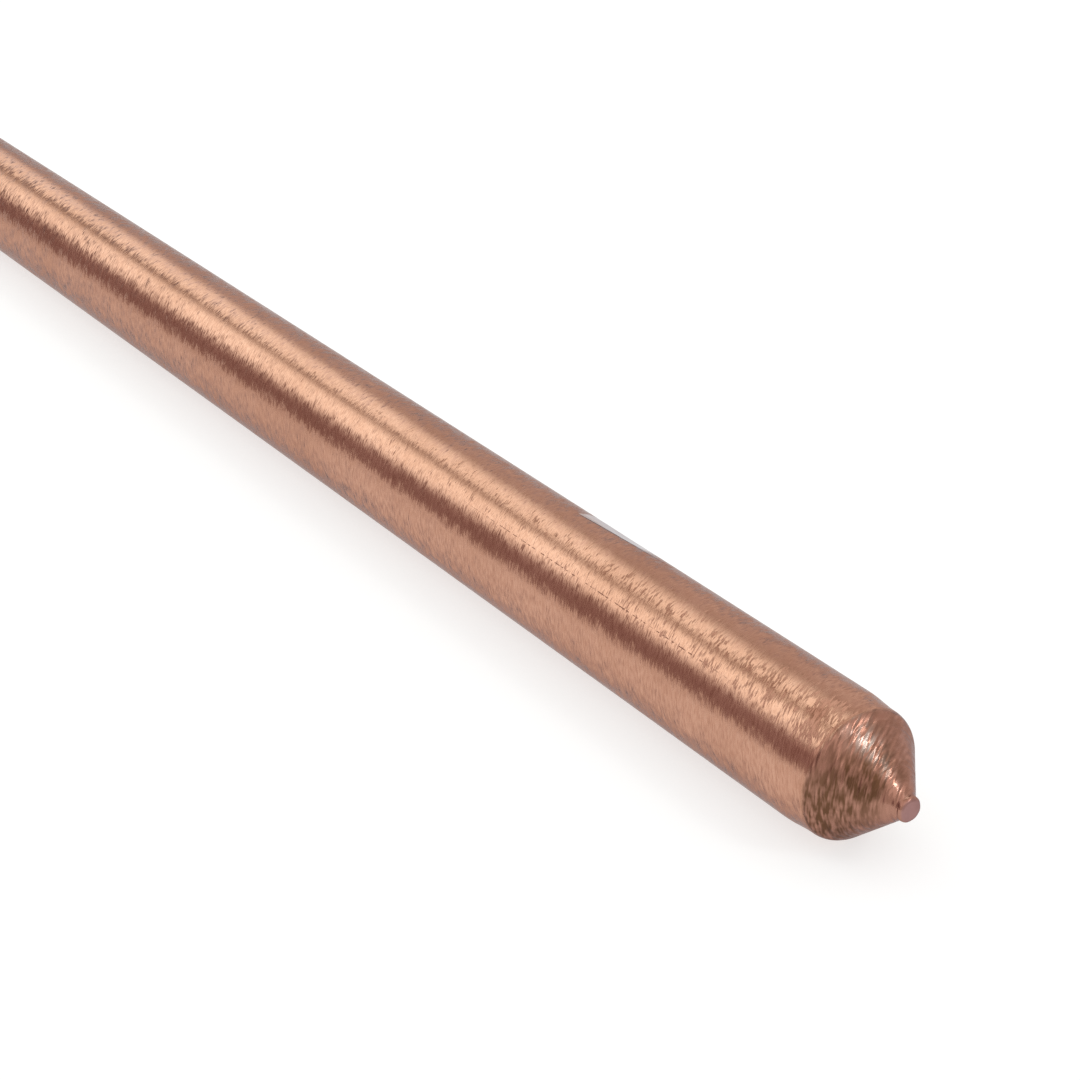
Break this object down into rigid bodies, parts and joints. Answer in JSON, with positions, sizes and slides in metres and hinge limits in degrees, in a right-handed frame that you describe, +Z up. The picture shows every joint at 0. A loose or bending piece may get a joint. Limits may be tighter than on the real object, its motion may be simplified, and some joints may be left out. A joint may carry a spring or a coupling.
{
  "type": "ground rod",
  "caption": "Copper-bonded ground rod: a long straight round bar with a turned conical point, driven into soil as an earth electrode.",
  "frame": {"origin": "centre of the driving face, on the rod's axis", "axes": "+X along the rod from the driving face to the point, +Z up when the rod lies as modelled"},
  "size_m": [2.4384, 0.0158, 0.0158],
  "materials": {
    "bonded_copper": "bright copper skin bonded to steel, ground round the bar, with fine circular grinding marks"
  },
  "bodies": {
    "root": {"ground_rod": "bonded_copper"}
  },
  "joints": []
}
